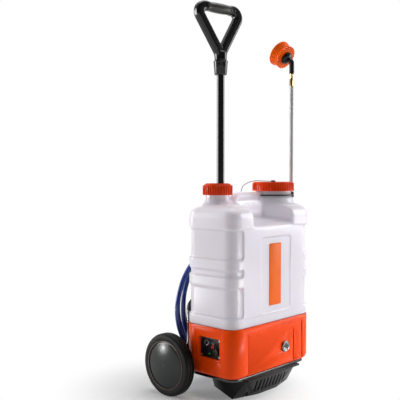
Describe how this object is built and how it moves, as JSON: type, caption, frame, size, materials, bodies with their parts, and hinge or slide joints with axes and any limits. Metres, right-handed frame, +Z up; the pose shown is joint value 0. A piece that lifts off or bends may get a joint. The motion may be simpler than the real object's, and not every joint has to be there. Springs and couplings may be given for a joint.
{
  "type": "wheeled sprayer cart",
  "caption": "Garden and orchard sprayer cart: moulded tank on a base housing and wheeled chassis, telescopic D-grip handle, lance in its clips and hose coil behind.",
  "frame": {"origin": "on the ground under the middle of the tank", "axes": "+Z up, -Y the front with the plate, -X the side with the control panel"},
  "size_m": [0.508, 0.31, 1.1563],
  "materials": {
    "tank_skin": "translucent satin",
    "orange_plastic": "semi-gloss",
    "black_plastic": "satin",
    "soft_black": "soft",
    "tyre": "moulded",
    "hub_grey": "satin",
    "steel": "bright",
    "chrome": "polished",
    "brass": "plated",
    "red_plastic": "gloss",
    "lamp": "clear",
    "hose": "smooth",
    "board": "lacquered",
    "plate": "printed film"
  },
  "bodies": {
    "cart": {"tank": "tank_skin", "base_housing": "orange_plastic", "chassis": "black_plastic", "front_foot": "black_plastic", "foot_screws": "steel", "axle": "steel", "axle_washers": "steel", "wheel_clips": "steel", "control_panel": "black_plastic", "panel_screws": "steel", "switch_frame": "black_plastic", "charge_socket": "black_plastic", "charge_nut": "chrome", "indicator_lamp": "lamp", "gauge_bezel": "chrome", "gauge_face": "black_plastic", "label_plate": "plate", "handle_sleeve": "steel", "handle_guide": "orange_plastic", "lid_tether": "soft_black", "strainer_basket": "black_plastic", "neck_clip": "black_plastic", "lance_tube": "steel", "lance_nut": "brass", "gun_body": "black_plastic", "gun_nut": "brass", "trigger_pin": "steel", "gun_rest": "black_plastic", "hose_hook": "black_plastic", "hose_outlet": "brass", "hose_outlet_run": "hose", "hose_coil": "hose", "hose_gun_run": "hose", "battery": "black_plastic", "control_board": "board", "pump": "black_plastic", "pump_motor": "steel", "suction_filter": "black_plastic", "inner_hoses": "hose"},
    "wheel_left": {"tyre_left": "tyre", "hub_left": "hub_grey", "hub_cap_left": "hub_grey"},
    "wheel_right": {"tyre_right": "tyre", "hub_right": "hub_grey", "hub_cap_right": "hub_grey"},
    "handle": {"handle_pole": "black_plastic", "pole_bush": "black_plastic", "handle_ferrule": "black_plastic", "handle_grip": "black_plastic"},
    "handle_ring": {"handle_cap": "orange_plastic"},
    "lid_core": {"lid_gasket": "soft_black", "vent_button": "soft_black"},
    "lid": {"filler_lid": "orange_plastic"},
    "rocker": {"switch_rocker": "red_plastic"},
    "knob": {"speed_knob": "black_plastic"},
    "trigger_lever": {"trigger": "orange_plastic"},
    "elbow": {"lance_elbow": "black_plastic", "head_coupling": "black_plastic"},
    "head": {"spray_head": "orange_plastic", "spray_plate": "orange_plastic"}
  },
  "joints": [
    {"name": "wheel_left_spin", "type": "hinge", "parent": "cart", "child": "wheel_left", "pos_m": [-0.231, 0.116, 0.092], "axis": [1, 0, 0], "continuous": true},
    {"name": "wheel_right_spin", "type": "hinge", "parent": "cart", "child": "wheel_right", "pos_m": [0.231, 0.116, 0.092], "axis": [1, 0, 0], "continuous": true},
    {"name": "handle_slide", "type": "slide", "parent": "cart", "child": "handle", "axis": [0, 0, 1], "range_m": [-0.31, 0]},
    {"name": "handle_cap_turn", "type": "hinge", "parent": "cart", "child": "handle_ring", "pos_m": [-0.105, 0.038, 0.6], "axis": [0, 0, 1], "range_deg": [0, 270]},
    {"name": "lid_lift", "type": "slide", "parent": "cart", "child": "lid_core", "axis": [0, 0, 1], "range_m": [0, 0.06], "deforming": ["lid_tether"]},
    {"name": "lid_turn", "type": "hinge", "parent": "lid_core", "child": "lid", "pos_m": [0.116, 0, 0.6], "axis": [0, 0, 1], "range_deg": [0, 270]},
    {"name": "switch_rock", "type": "hinge", "parent": "cart", "child": "rocker", "pos_m": [-0.1765, -0.01, 0.156], "axis": [0, -1, 0], "range_deg": [0, 20]},
    {"name": "speed_turn", "type": "hinge", "parent": "cart", "child": "knob", "pos_m": [-0.185, -0.028, 0.145], "axis": [-1, 0, 0], "range_deg": [0, 270]},
    {"name": "trigger_squeeze", "type": "hinge", "parent": "cart", "child": "trigger_lever", "pos_m": [0.206, 0.014, 0.458], "axis": [-1, 0, 0], "range_deg": [0, 14], "stiffness_Nm_per_rad": 1, "springref_deg": -5.73},
    {"name": "elbow_swivel", "type": "hinge", "parent": "cart", "child": "elbow", "pos_m": [0.206, -0.005, 0.98], "axis": [0, 0, 1], "range_deg": [-180, 180]},
    {"name": "head_turn", "type": "hinge", "parent": "elbow", "child": "head", "pos_m": [0.206, 0.00138, 1.01674], "axis": [0, 0.8387, 0.5446], "range_deg": [-180, 180]}
  ]
}
